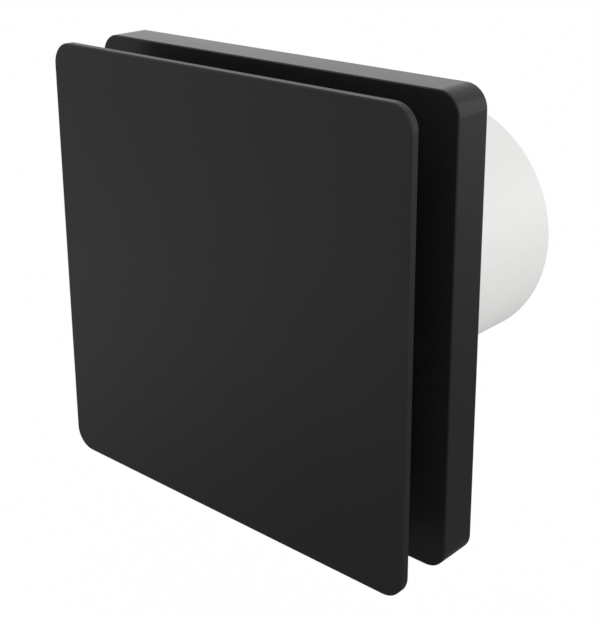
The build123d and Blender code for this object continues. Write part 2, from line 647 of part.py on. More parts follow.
def bearing_balls():
    inner, outer = SHAFT_R + SEAT_CLEAR + RACE_THICK, BEARING_R - RACE_THICK
    ball = Sphere((outer - inner) / 2 - BALL_CLEAR)
    first = Pos((inner + outer) / 2, BEARING_Y + BEARING_WIDTH / 2, 0) * ball
    return at_both_bearings(around(first, BALL_COUNT))


# ---- Motor carrier -------------------------------------------------------------------------------
def motor_damper_front():
    """A rubber ring round the end of the motor, with a lip in front of its rim."""
    outer, inner = CUP_BORE_R - SEAT_CLEAR, MOTOR_R + SEAT_CLEAR
    face_y = MOTOR_Y - SEAT_CLEAR
    length = MOTOR_BACK_Y - LEAD_TURN_Y - LEAD_R - LEAD_CLEAR
    return ring(outer, inner, face_y, MOTOR_Y + length) + ring(
        outer, inner - DAMPER_LIP_WIDTH, face_y - DAMPER_LIP, face_y)


def motor_damper_rear():
    return mirror(motor_damper_front(), Plane.XZ.offset(-MOTOR_MIDDLE_Y))


def guide_vane():
    """A swept vane between the cup and the ring. Its front edge leans to meet the impeller's swirl."""
    front, back = CARRIER_Y + VANE_INSET, CARRIER_BACK_Y - VANE_INSET
    middle = (front + back) / 2
    near = ThreePointArc((-VANE_SWEEP, front), (-VANE_BOW, middle), (0, back))
    far = ThreePointArc((VANE_THICK, back), (VANE_THICK - VANE_BOW, middle), (VANE_THICK - VANE_SWEEP, front))
    outline = make_face([near, Line(near @ 1, far @ 0), far, Line(far @ 1, near @ 0)])
    vane = extrude(facing_out(CUP_BORE_R) * outline, amount=CARRIER_R - CUP_BORE_R)
    return vane & ring(CARRIER_BORE_R + OVERLAP, CUP_R - OVERLAP, front, back)


def lead_strut():
    """The straight vane: a channel, open at the back, which carries the leads to the motor."""
    inner, outer = CUP_R - OVERLAP, CARRIER_BORE_R + OVERLAP
    half = CHANNEL_HALF + STRUT_WALL
    strut = block(inner, outer, STRUT_FLOOR_Y - STRUT_WALL, CARRIER_BACK_Y, -half, half)
    strut -= block(inner, outer, STRUT_FLOOR_Y, CARRIER_BACK_Y, -CHANNEL_HALF, CHANNEL_HALF)
    return strut + block(inner, outer, CARRIER_Y + VANE_INSET, STRUT_FLOOR_Y, -VANE_THICK / 2, VANE_THICK / 2)


def motor_carrier():
    carrier = ring(CARRIER_R, CARRIER_BORE_R, CARRIER_Y, CARRIER_BACK_Y)
    cup = disc(CUP_R, CUP_Y, CUP_FLOOR_Y + CUP_BACK_WALL)
    carrier += fillet(round_edges(cup)[-1], CUP_EDGE_R)
    for one in around(guide_vane(), VANE_COUNT)[1:]:
        carrier += one
    carrier += lead_strut()
    carrier -= disc(CUP_BORE_R, CUP_Y, CUP_FLOOR_Y)
    window_back = LEAD_TURN_Y + LEAD_R + LEAD_CLEAR
    carrier -= block(CUP_BORE_R - WAY_OUT, CUP_R, STRUT_FLOOR_Y, window_back, -CHANNEL_HALF, CHANNEL_HALF)
    bend_y = LEAD_TURN_Y - LEAD_BEND_R - 2 * LEAD_R
    carrier -= block(CARRIER_BORE_R - WAY_OUT, CARRIER_R, bend_y, CARRIER_BACK_Y, -CHANNEL_HALF, CHANNEL_HALF)
    pilot = disc(SMALL_SCREW_R + SEAT_CLEAR, CUP_Y, CUP_Y + SMALL_SCREW_LENGTH, RETAINER_SCREW_R)
    for one in around(pilot, RETAINER_SCREWS, 90):
        carrier -= one
    return carrier


def motor_retainer():
    """The ring that closes the cup over the front of the motor."""
    plate = ring(CUP_R, RETAINER_HOLE_R, RETAINER_Y, CUP_Y)
    hole = disc(SMALL_SCREW_R + HOLE_CLEAR, RETAINER_Y, CUP_Y, RETAINER_SCREW_R)
    slot = SlotOverall(RETAINER_WINDOW, RETAINER_WINDOW_WIDTH, rotation=90)
    window = bar(Pos((RETAINER_HOLE_R + CUP_BORE_R) / 2, 0) * slot, RETAINER_Y, CUP_Y)
    for one in around(hole, RETAINER_SCREWS, 90) + around(window, RETAINER_SCREWS, 30):
        plate -= one
    return plate


def retainer_screws():
    made = screw(RETAINER_SCREW_R, 0, RETAINER_Y, SMALL_SCREW_LENGTH, SMALL_SCREW_R, SMALL_HEAD_R, SMALL_HEAD)
    return around(made, RETAINER_SCREWS, 90)


# ---- Backdraught shutter -------------------------------------------------------------------------
def on_pin(shape, z=0.0):
    return Pos(0, PIN_Y, z) * shape


def shutter_ring():
    body = ring(SHUTTER_R, SHUTTER_BORE_R, SHUTTER_Y, SHUTTER_BACK_Y)
    body += ring(SHUTTER_BORE_R + OVERLAP, SEAT_R, SEAT_Y, SEAT_BACK_Y)
    post_z = SEAT_R + OVERLAP
    body += block(-POST_HALF_WIDTH, POST_HALF_WIDTH, SEAT_Y, SEAT_BACK_Y, -post_z, post_z)
    for low, high in ((EAR_Z, SHUTTER_BORE_R + OVERLAP), (-SHUTTER_BORE_R - OVERLAP, -EAR_Z)):
        body += block(-EAR_HALF_WIDTH, EAR_HALF_WIDTH, PIN_Y - EAR_HALF_WIDTH, SHUTTER_BACK_Y, low, high)
    return body - on_pin(Cylinder(PIN_R + SEAT_CLEAR, 2 * (SHUTTER_R - GAP)))


def flap_pin():
    return on_pin(Cylinder(PIN_R, 2 * (SHUTTER_R - 2 * GAP)))


def knuckle_places(side):
    """Where a flap's knuckles are along the pin. Those of the two flaps meet in pairs."""
    step = (KNUCKLE_LENGTH + GAP) / 2
    return [pair_z + side * step for pair_z in (-KNUCKLE_PAIR_Z, KNUCKLE_PAIR_Z)]


def shutter_flap(side):
    """A half-round flap. side is 1 for the right one and -1 for the left one."""
    plate = disc(FLAP_R, FLAP_Y, FLAP_BACK_Y)
    for share in FLAP_RIBS:
        middle = FLAP_R * share
        plate += ring(middle + FLAP_RIB / 2, middle - FLAP_RIB / 2, FLAP_BACK_Y, FLAP_BACK_Y + FLAP_RIB)
    rib_start = 2 * KNUCKLE_R + OVERLAP
    plate -= block(-FLAP_R, rib_start, FLAP_BACK_Y, FLAP_BACK_Y + FLAP_RIB, -FLAP_R, FLAP_R)
    plate -= block(-FLAP_R, FLAP_SPLIT, FLAP_Y, FLAP_BACK_Y, -FLAP_R, FLAP_R)
    notch_z = EAR_Z - 2 * GAP
    for low, high in ((notch_z, FLAP_R), (-FLAP_R, -notch_z)):
        plate -= block(0, EAR_HALF_WIDTH + EAR_ROOM, FLAP_Y, FLAP_BACK_Y, low, high)
    half = KNUCKLE_LENGTH / 2
    for z in knuckle_places(side):
        plate += on_pin(Cylinder(KNUCKLE_R, KNUCKLE_LENGTH), z)
        plate += block(FLAP_SPLIT, KNUCKLE_R + OVERLAP, FLAP_BACK_Y, PIN_Y, z - half, z + half)
    for z in knuckle_places(-side):
        room = half + GAP
        plate -= block(0, KNUCKLE_R + GAP, FLAP_Y, PIN_Y, z - room, z + room)
    plate -= on_pin(Cylinder(KNUCKLE_BORE_R, 2 * FLAP_R))
    return plate if side > 0 else mirror(plate, Plane.YZ)


def flap_spring():
    """A torsion spring round the pin. Each of its two legs lies on the back of one flap."""
    coil_r = KNUCKLE_R - SPRING_WIRE_R - SPRING_CLEAR
    pitch = 2 * SPRING_WIRE_R + SPRING_CLEAR
    height = pitch * SPRING_TURNS
    helix = Pos(0, PIN_Y, -height / 2) * Rot(0, 0, -90) * Helix(pitch, height, coil_r)
    first = Line(helix @ 0 - (helix % 0) * SPRING_LEG, helix @ 0)
    last = Line(helix @ 1, helix @ 1 + (helix % 1) * SPRING_LEG)
    path = Wire([first, helix, last])
    section = Plane(origin=path @ 0, z_dir=path % 0) * Circle(SPRING_WIRE_R)
    return sweep(section, path=path)


# ---- Mains connection ----------------------------------------------------------------------------
def terminal_places():
    first = -TERMINAL_PITCH * (TERMINAL_COUNT - 1) / 2
    return [first + i * TERMINAL_PITCH for i in range(TERMINAL_COUNT)]


def terminal_screw_places():
    """The x of the two screws of each terminal, one for each wire."""
    return (TERMINAL_X - TERMINAL_WIDTH / 4, TERMINAL_X + TERMINAL_WIDTH / 4)


def wire_bore(r, z):
    return Pos(TERMINAL_X, WIRE_Y, z) * Rot(0, 90, 0) * Cylinder(r, TERMINAL_WIDTH)


def clamp_block(grow, z):
    """The square bar of one terminal, or its slot in the block where grow is above 0."""
    half_width = TERMINAL_WIDTH / 2 - TERMINAL_WALL - SEAT_CLEAR + grow
    side = CLAMP_SIDE + 2 * grow
    return Pos(TERMINAL_X, WIRE_Y, z) * Box(2 * half_width, side, side)


def terminal_block():
    body = block(TERMINAL_LEFT_X, TERMINAL_RIGHT_X, TERMINAL_Y, PLATE_Y, -TERMINAL_HALF, TERMINAL_HALF)
    body = fillet(body.edges().filter_by(Axis.Y), COVER_CORNER_R / 2)
    for z in terminal_places():
        body -= [clamp_block(SEAT_CLEAR, z), wire_bore(CLAMP_BORE_R + HOLE_CLEAR, z)]
        for x in terminal_screw_places():
            body -= disc(TERMINAL_HEAD_R + HOLE_CLEAR, TERMINAL_Y, WIRE_Y, x, z)
    for z in terminal_places()[:-1]:
        middle = z + TERMINAL_PITCH / 2
        body -= block(TERMINAL_LEFT_X, TERMINAL_RIGHT_X, TERMINAL_Y, TERMINAL_Y + TERMINAL_GROOVE_DEPTH,
                      middle - TERMINAL_GROOVE / 2, middle + TERMINAL_GROOVE / 2)
    return body


def terminal_clamps():
    made = []
    for z in terminal_places():
        clamp = clamp_block(0, z) - wire_bore(CLAMP_BORE_R, z)
        for x in terminal_screw_places():
            clamp -= disc(TERMINAL_SCREW_R + SEAT_CLEAR, WIRE_Y - CLAMP_SIDE, WIRE_Y, x, z)
        made.append(clamp)
    return made


def terminal_screws():
    front, head_back = TERMINAL_Y + TERMINAL_HEAD_SUNK, WIRE_Y - CLAMP_SIDE / 2 - 2 * SEAT_CLEAR
    tip = WIRE_Y - LEAD_R - SEAT_CLEAR
    slot = Pos(0, front + SLOT_DEPTH / 2, 0) * Box(2 * TERMINAL_HEAD_R, SLOT_DEPTH, SLOT_WIDTH)
    made = disc(TERMINAL_HEAD_R, front, head_back) - slot + disc(TERMINAL_SCREW_R, head_back, tip)
    return [Pos(x, 0, z) * made for z in terminal_places() for x in terminal_screw_places()]


def terminal_cover():
    side = COVER_CLEAR + COVER_WALL
    left, right = TERMINAL_LEFT_X - side, TERMINAL_RIGHT_X + side
    cover = block(left, right, COVER_Y, PLATE_Y, -COVER_HALF, COVER_HALF)
    cover = fillet(cover.edges().filter_by(Axis.Y), COVER_CORNER_R)
    inner_z = COVER_HALF - COVER_WALL
    cover -= block(left + COVER_WALL, right - COVER_WALL, COVER_Y + COVER_WALL, PLATE_Y, -inner_z, inner_z)
    lead_half = TERMINAL_PITCH + LEAD_R + 3 * LEAD_CLEAR
    lead_slot_y = WIRE_Y - LEAD_R - LEAD_CLEAR
    cover -= block(left, left + side, lead_slot_y, PLATE_Y, -lead_half, lead_half)
    cord_half = GROMMET_BORE_R + WAY_OUT
    return cover - block(
        TERMINAL_X - cord_half, TERMINAL_X + cord_half, CORD_POST_Y, PLATE_Y, -COVER_HALF, -inner_z)


def cord_clamp():
    """The bar that holds the cord, on two posts of the wall plate."""
    front = CORD_POST_Y - CORD_CLAMP_THICK
    slot = SlotOverall(CORD_CLAMP_SPAN + CORD_CLAMP_WIDTH, CORD_CLAMP_WIDTH)
    made = bar(Pos(TERMINAL_X, CORD_CLAMP_Z) * slot, front, CORD_POST_Y)
    tooth_length = CORD_CLAMP_SPAN - 2 * (CORD_POST_R + GAP)
    tooth = Box(tooth_length, CORD_CLAMP_TOOTH, 2 * CORD_CLAMP_TOOTH)
    made += Pos(TERMINAL_X, CORD_POST_Y + CORD_CLAMP_TOOTH / 2, CORD_CLAMP_Z) * tooth
    for side in (-1, 1):
        x = TERMINAL_X + side * CORD_CLAMP_SPAN / 2
        made -= disc(SMALL_SCREW_R + HOLE_CLEAR, front, CORD_POST_Y, x, CORD_CLAMP_Z)
    return made


def cord_clamp_screws():
    length = CORD_CLAMP_THICK + CORD_POST_HEIGHT - 2 * GAP
    seat_y = CORD_POST_Y - CORD_CLAMP_THICK
    return [
        screw(TERMINAL_X + side * CORD_CLAMP_SPAN / 2, CORD_CLAMP_Z, seat_y, length, SMALL_SCREW_R,
              SMALL_HEAD_R, SMALL_HEAD) for side in (-1, 1)]


def cord_grommet():
    """The rubber piece that slides into the plate's slot from the side, with the hole for the cord."""
    front = PLATE_Y - GROMMET_FLANGE_THICK
    flange_end = PLATE_SIDE / 2 - RIM_THICK - GROMMET_RIM_CLEAR
    made = bar(entry_slot(GROMMET_R, PLATE_SIDE / 2 - SEAT_CLEAR), PLATE_Y, 0)
    made += bar(entry_slot(GROMMET_R + GROMMET_FLANGE, flange_end), front, PLATE_Y)
    return made - disc(GROMMET_BORE_R, front, 0, TERMINAL_X, CORD_HOLE_Z)


# ---- Motor leads ---------------------------------------------------------------------------------
def motor_lead(side):
    """A lead from its terminal over the spigot's lip, down the channel and strut into the motor."""
    terminal_z, channel_z = side * TERMINAL_PITCH, side * LEAD_SPREAD
    lip_y = LIP_Y + LEAD_R + 2 * LEAD_CLEAR
    channel_x = BORE_R + CHANNEL_DEPTH - LEAD_R - SEAT_CLEAR
    route = [
        (TERMINAL_LEFT_X + LEAD_STRIP, WIRE_Y, terminal_z),
        (TERMINAL_LEFT_X - LEAD_LEAVE, WIRE_Y, terminal_z),
        (SPIGOT_R + 2 * LEAD_R + WAY_OUT, (WIRE_Y + lip_y) / 2, channel_z),
        (channel_x, lip_y, channel_z),
        (channel_x, LEAD_TURN_Y, channel_z),
        (MOTOR_R - LEAD_INSIDE, LEAD_TURN_Y, channel_z)]
    radii = [LEAD_BEND_EASY_R, LEAD_BEND_EASY_R, LEAD_BEND_TIGHT_R, LEAD_BEND_R]
    path = FilletPolyline(*route, radius=radii)
    return sweep(Plane(origin=path @ 0, z_dir=path % 0) * Circle(LEAD_R), path=path)


def main():
    os.makedirs("parts", exist_ok=True)
    save("front_panel", front_panel())
    save("frame_cover", frame_cover())
    save("frame_screws", *frame_screws())
    for name, (sx, sz) in CORNERS.items():
        save(f"panel_stud_{name}", panel_stud(sx * STUD_OFFSET, sz * STUD_OFFSET))
        save(f"stud_bush_{name}", stud_bush(sx * STUD_OFFSET, sz * STUD_OFFSET))
    save("fan_body", fan_body())
    save("impeller", impeller())
    save("impeller_nut", impeller_nut())
    save("motor_shaft", motor_shaft())
    save("motor_front_bell", motor_front_bell())
    save("motor_rear_bell", motor_rear_bell())
    save("stator_core", stator_core())
    save("stator_coils", *stator_coils())
    save("rotor_core", rotor_core())
    save("bearing_outer_races", *bearing_outer_races())
    save("bearing_inner_races", *bearing_inner_races())
    save("bearing_balls", *bearing_balls())
    save("motor_damper_front", motor_damper_front())
    save("motor_damper_rear", motor_damper_rear())
    save("motor_carrier", motor_carrier())
    save("motor_retainer", motor_retainer())
    save("retainer_screws", *retainer_screws())
    save("shutter_ring", shutter_ring())
    save("flap_pin", flap_pin())
    save("flap_right", shutter_flap(1))
    save("flap_left", shutter_flap(-1))
    save("flap_spring", flap_spring())
    save("terminal_block", terminal_block())
    save("terminal_clamps", *terminal_clamps())
    save("terminal_screws", *terminal_screws())
    save("terminal_cover", terminal_cover())
    save("cord_clamp", cord_clamp())
    save("cord_clamp_screws", *cord_clamp_screws())
    save("cord_grommet", cord_grommet())
    save("motor_lead_live", motor_lead(1))
    save("motor_lead_neutral", motor_lead(-1))


if __name__ == "__main__":
    main()
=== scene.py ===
import json
from math import pi, radians

import bpy
from mathutils import Matrix, Vector


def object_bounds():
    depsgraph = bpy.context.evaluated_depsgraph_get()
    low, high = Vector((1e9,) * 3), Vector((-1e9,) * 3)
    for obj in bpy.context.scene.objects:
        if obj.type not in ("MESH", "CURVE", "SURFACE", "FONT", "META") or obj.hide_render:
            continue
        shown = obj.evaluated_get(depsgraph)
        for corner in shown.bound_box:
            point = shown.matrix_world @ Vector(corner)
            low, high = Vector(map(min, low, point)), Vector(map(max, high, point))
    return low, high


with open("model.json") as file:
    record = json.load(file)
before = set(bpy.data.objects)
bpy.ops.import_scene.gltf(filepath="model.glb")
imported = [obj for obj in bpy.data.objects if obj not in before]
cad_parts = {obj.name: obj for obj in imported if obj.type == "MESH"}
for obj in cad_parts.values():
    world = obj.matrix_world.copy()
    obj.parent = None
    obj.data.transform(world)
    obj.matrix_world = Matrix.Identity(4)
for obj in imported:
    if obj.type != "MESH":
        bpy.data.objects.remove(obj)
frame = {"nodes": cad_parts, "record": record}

CAD_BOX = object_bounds()

# ---- Camera --------------------------------------------------------------------------------------
EYE = Vector((0.2855, -0.3125, 0.1583))
TURN_LEFT = radians(41.96)
LOOK_DOWN = radians(17.55)
TILT = radians(-0.29)
LENS = 73.30                    # focal length in millimetres
FRAME_SHIFT = -0.1624           # the picture's middle lies below the lens axis


def set_camera():
    """A 73 mm lens in front of the fan, to its right and above it."""
    lens = bpy.data.cameras.new("camera")
    lens.sensor_width = 36.0
    lens.lens = LENS
    lens.shift_y = FRAME_SHIFT
    lens.clip_start = 0.01
    lens.clip_end = 30.0
    camera = bpy.data.objects.new("camera", lens)
    turned = Matrix.Rotation(TURN_LEFT, 4, "Z") @ Matrix.Rotation(pi / 2 - LOOK_DOWN, 4, "X")
    camera.matrix_world = Matrix.Translation(EYE) @ turned @ Matrix.Rotation(TILT, 4, "Z")
    bpy.context.scene.collection.objects.link(camera)
    bpy.context.scene.camera = camera


# ---- Shader sums ---------------------------------------------------------------------------------
class Wire:
    """The output of a node, with the signs of arithmetic."""

    def __init__(self, bench, socket):
        self.bench = bench
        self.socket = socket

    def sum(self, sign, first, second=0.0):
        return self.bench.add("ShaderNodeMath", {"operation": sign}, {0: first, 1: second})

    def __add__(self, other):
        return self.sum("ADD", self, other)

    def __sub__(self, other):
        return self.sum("SUBTRACT", self, other)

    def __rsub__(self, other):
        return self.sum("SUBTRACT", other, self)

    def __mul__(self, other):
        return self.sum("MULTIPLY", self, other)

    def __truediv__(self, other):
        return self.sum("DIVIDE", self, other)

    def __rtruediv__(self, other):
        return self.sum("DIVIDE", other, self)

    def __pow__(self, other):
        return self.sum("POWER", self, other)

    def __abs__(self):
        return self.sum("ABSOLUTE", self)

    __radd__ = __add__
    __rmul__ = __mul__

    def most(self, other):
        return self.sum("MAXIMUM", self, other)

    def wave(self):
        return self.sum("SINE", self)

    def between(self, low, high):
        """0 at low and 1 at high, with soft ends. High may be the smaller one."""
        ends = {"Value": self, "From Min": low, "From Max": high}
        return self.bench.add("ShaderNodeMapRange", {"interpolation_type": "SMOOTHSTEP"}, ends)


class Bench:
    """A node tree, and the one way that nodes are added to it."""

    def __init__(self, tree):
        self.tree = tree
        tree.nodes.clear()

    def add(self, kind, settings=None, sockets=None, out=0):
        node = self.tree.nodes.new(kind)
        for name, value in (settings or {}).items():
            setattr(node, name, value)
        for name, value in (sockets or {}).items():
            if isinstance(value, Wire):
                self.tree.links.new(value.socket, node.inputs[name])
            else:
                node.inputs[name].default_value = value
        return Wire(self, node.outputs[out]) if node.outputs else node

    def place(self):
        """Where a point of the piece is, in metres, in the fan's own frame."""
        return self.add("ShaderNodeTexCoord", out="Object")

    def axes(self):
        split = self.add("ShaderNodeSeparateXYZ", None, {0: self.place()}).socket.node
        return [Wire(self, output) for output in split.outputs]

    def stretched(self, scale, shift=(0.0, 0.0, 0.0)):
        """The place, scaled along each axis and then moved."""
        by = self.add("ShaderNodeVectorMath", {"operation": "MULTIPLY"}, {0: self.place(), 1: scale})
        return self.add("ShaderNodeVectorMath", {"operation": "ADD"}, {0: by, 1: shift})

    def cloud(self, grain, detail=2.0, stretch=(1.0, 1.0, 1.0), shift=0.0):
        """Noise from 0 to 1 whose blotches are about one grain across, in metres."""
        scale = tuple(s / grain for s in stretch)
        where = self.stretched(scale, (shift, shift * 0.7, -shift))
        settings = {"noise_dimensions": "3D"}
        return self.add("ShaderNodeTexNoise", settings, {"Vector": where, "Scale": 1.0, "Detail": detail})

    def pebbles(self, grain, shift=0.0):
        """Distance from the middle of the nearest grain, as on a spark-eroded mould."""
        where = self.stretched((1.0 / grain,) * 3, (shift, -shift, shift))
        return self.add("ShaderNodeTexVoronoi", {"feature": "F1"}, {"Vector": where, "Scale": 1.0})

    def mix(self, share, first, second):
        """One colour over another, by a share that may vary."""
        first = first if isinstance(first, Wire) else (*first, 1.0)
        second = second if isinstance(second, Wire) else (*second, 1.0)
        return self.add("ShaderNodeMix", {"data_type": "RGBA"}, {0: share, 6: first, 7: second}, out=2)

    def relief(self, height, depth):
        """A normal bent by a height from 0 to 1, where 1 stands depth metres proud."""
        return self.add("ShaderNodeBump", None, {"Height": height, "Distance": depth, "Strength": 1.0})


def new_finish(name, surface, fixed):
    """A material whose varying sockets come from surface(bench). fixed holds the constant ones."""
    material = bpy.data.materials.new(name)
    material.use_nodes = True
    bench = Bench(material.node_tree)
    sockets = dict(fixed)
    sockets.update(surface(bench))
    shader = bench.add("ShaderNodeBsdfPrincipled", None, sockets)
    bench.add("ShaderNodeOutputMaterial", None, {"Surface": shader})
    return material


def tone(colour, factor):
    """The same colour, lighter or darker."""
    return tuple(min(1.0, c * factor) for c in colour)


def reach(first, second):
    """Distance from the origin of a point with these two coordinates."""
    return (first * first + second * second) ** 0.5


# ---- Plastics ------------------------------------------------------------------------------------
HALF_SIDE = CAD_BOX[1].x        # of the panel and of the frame
PANEL_CORNER, FRAME_CORNER = 0.008, 0.0076
SPARK_GRAIN = 0.00042           # of the black mouldings, one pit across
SPARK_DEPTH = 0.0000025
WORN_WIDTH = 0.0009             # of the paler band along a black moulding's outline
JET, COAL, WORN = (0.0105, 0.0105, 0.0112), (0.0135, 0.0135, 0.0142), (0.020, 0.020, 0.021)
HOUSE_DUST = (0.42, 0.40, 0.37)


def edge_band(bench, half, corner, width):
    """1 along the outline of a rounded square in X and Z, and 0 further in than width."""
    x, _, z = bench.axes()
    flat = half - corner
    return reach((abs(x) - flat).most(0.0), (abs(z) - flat).most(0.0)).between(corner - width, corner)


def satin_black(corner, rough):
    """Fine-grained black moulding, a little polished where hands and cloths meet its edges."""

    def surface(bench):
        grain = bench.pebbles(SPARK_GRAIN)
        fine = bench.cloud(0.0011, 3.0, shift=3.1)
        haze = bench.cloud(0.045, 3.0, shift=1.7)
        wiped = bench.cloud(0.02, 4.0, (0.35, 1.0, 1.6), 9.4).between(0.5, 0.75)
        edge = edge_band(bench, HALF_SIDE, corner, WORN_WIDTH)
        colour = bench.mix(edge * 0.45, bench.mix(haze, JET, COAL), WORN)
        return {
            "Base Color": colour,
            "Roughness": rough + haze * 0.07 + fine * 0.05 - wiped * 0.02 - edge * 0.03,
            "Normal": bench.relief(grain * 0.7 + fine * 0.3, SPARK_DEPTH)}

    return surface


def moulded(colour, rough, grain=0.0006, depth=0.000006, dust=0.03):
    """A moulding: its grain, slow changes of shade, faint flow marks and dust in its upward faces."""

    def surface(bench):
        pits = bench.pebbles(grain)
        fine = bench.cloud(grain * 3.0, 3.0, shift=2.3)
        shade = bench.cloud(0.03, 3.0, shift=5.1)
        flow = bench.cloud(0.006, 2.0, (1.0, 0.15, 1.0), 7.7).between(0.52, 0.72)
        body = bench.mix(shade, tone(colour, 0.985), tone(colour, 1.01))
        body = bench.mix(flow * 0.5, body, tone(colour, 0.985))
        normal = bench.add("ShaderNodeNewGeometry", out="Normal")
        upward = bench.add("ShaderNodeSeparateXYZ", None, {0: normal}, out=2).between(0.3, 1.0)
        settled = (upward * bench.cloud(0.004, 4.0, shift=8.8).between(0.45, 0.7)) * dust
        body = bench.mix(settled, body, HOUSE_DUST)
        return {
            "Base Color": body,
            "Roughness": rough + shade * 0.06 + fine * 0.06 + settled * 0.5,
            "Normal": bench.relief(pits * 0.6 + fine * 0.4, depth)}

    return surface


def rubber(colour):
    """Matt rubber with a bloom of talc in patches."""

    def surface(bench):
        skin = bench.cloud(0.0009, 4.0)
        bloom = bench.cloud(0.006, 3.0, shift=4.0).between(0.45, 0.75)
        return {
            "Base Color": bench.mix(bloom * 0.25, colour, tone(colour, 2.4)),
            "Roughness": 0.62 + skin * 0.2 + bloom * 0.1,
            "Normal": bench.relief(skin, 0.00003)}

    return surface


# ---- Metals --------------------------------------------------------------------------------------
SHEET_THICK = 0.0005            # one lamination of the motor's core
WIRE_THICK = 0.00042            # of the windings
TURNING_PITCH = 0.00035         # between the rings that a lathe leaves
CRYSTALS = 380.0                # of zinc, in a metre
RUST = (0.16, 0.07, 0.035)
GREASE = (0.55, 0.5, 0.36)


def ridges(along, pitch):
    """0 to 1 and back, once in each pitch."""
    return (along * (2 * pi / pitch)).wave() * 0.5 + 0.5


def plated(colour, rough=0.28):
    """Zinc-plated or ground steel: fine scratches, cloudy patches and duller, darker patches."""

    def surface(bench):
        cloud = bench.cloud(0.0022, 4.0)
        scratch = bench.cloud(0.0005, 2.0, (1.0, 14.0, 1.0), 6.0).between(0.55, 0.7)
        dull = bench.cloud(0.0035, 3.0, shift=3.0).between(0.5, 0.7)
        return {
            "Base Color": bench.mix(dull * 0.6, colour, tone(colour, 0.8)),
            "Roughness": rough + cloud * 0.14 + scratch * 0.08 + dull * 0.1,
            "Normal": bench.relief(scratch * 0.5 + cloud * 0.5, 0.000012)}

    return surface


def galvanised(colour):
    """Pressed zinc-coated sheet, with the flat crystals of its coating and drawing marks."""

    def surface(bench):
        spread = {"Vector": bench.stretched((CRYSTALS,) * 3), "Scale": 1.0}
        crystal = bench.add("ShaderNodeTexVoronoi", {"feature": "F1"}, spread, 1)
        sparkle = bench.add("ShaderNodeSeparateColor", None, {0: crystal})
        drawn = bench.cloud(0.0012, 2.0, (1.0, 0.08, 1.0), 2.0)
        return {
            "Base Color": bench.mix(sparkle, tone(colour, 0.82), tone(colour, 1.12)),
            "Roughness": 0.26 + sparkle * 0.16 + drawn * 0.08,
            "Normal": bench.relief(drawn * 0.6 + sparkle * 0.4, 0.00001)}

    return surface


def laminated(colour):
    """Thin steel sheets stacked along Y, with rust beginning between some of them."""

    def surface(bench):
        sheet = ridges(bench.axes()[1], SHEET_THICK)
        rust = bench.cloud(0.003, 4.0).between(0.55, 0.75)
        varnish = bench.cloud(0.0015, 3.0, shift=4.4)
        steel = bench.mix(sheet, tone(colour, 0.7), tone(colour, 1.15))
        return {
            "Base Color": bench.mix(rust * 0.5, steel, RUST),
            "Metallic": 0.92 - rust * 0.6,
            "Roughness": 0.38 + varnish * 0.2 + rust * 0.25,
            "Normal": bench.relief(sheet, 0.00008)}

    return surface


def wound(colour):
    """Enamelled wire laid turn by turn, with painted shade in the grooves between the turns and a little
    varnish.
    """

    def surface(bench):
        x, y, z = bench.axes()
        turn = ridges(x + z, WIRE_THICK)
        layer = ridges(y, WIRE_THICK)
        uneven = bench.cloud(0.0012, 3.0)
        ridge = turn.most(layer * 0.6)
        return {
            # painted shade: the colour darkens to about a third in the grooves between turns and layers
            "Base Color": bench.mix(ridge, tone(colour, 0.35), colour),
            "Roughness": 0.2 + uneven * 0.2,
            "Normal": bench.relief(ridge * 0.8 + uneven * 0.2, 0.00015)}

    return surface


def cast(colour):
    """Turned rotor surface: fine rings round the shaft over a cast cage."""

    def surface(bench):
        ring = ridges(bench.axes()[1], TURNING_PITCH)
        pore = bench.cloud(0.0008, 4.0).between(0.55, 0.7)
        return {
            "Base Color": bench.mix(pore * 0.7, colour, tone(colour, 0.5)),
            "Roughness": 0.32 + ring * 0.1 + pore * 0.25,
            "Normal": bench.relief(ring * 0.5 + pore * 0.5, 0.00003)}

    return surface


def polished(colour):
    """Ground and lapped bearing steel, with a film of grease in places."""

    def surface(bench):
        grease = bench.cloud(0.0018, 3.0).between(0.45, 0.7)
        lap = bench.cloud(0.0004, 2.0, shift=2.0)
        return {
            "Base Color": bench.mix(grease * 0.35, colour, GREASE),
            "Roughness": 0.08 + grease * 0.2 + lap * 0.05,
            "Normal": bench.relief(grease, 0.00002)}

    return surface


# ---- The finish of each slot ---------------------------------------------------------------------
PLAIN = {"Metallic": 0.0, "IOR": 1.46}
METAL = {"Metallic": 1.0, "IOR": 1.5}
BARE = {"IOR": 1.5}
BLACK = {"Metallic": 0.0, "IOR": 1.27}
SOFT = {"Metallic": 0.0, "IOR": 1.4}
PVC = {"Metallic": 0.0, "IOR": 1.5}

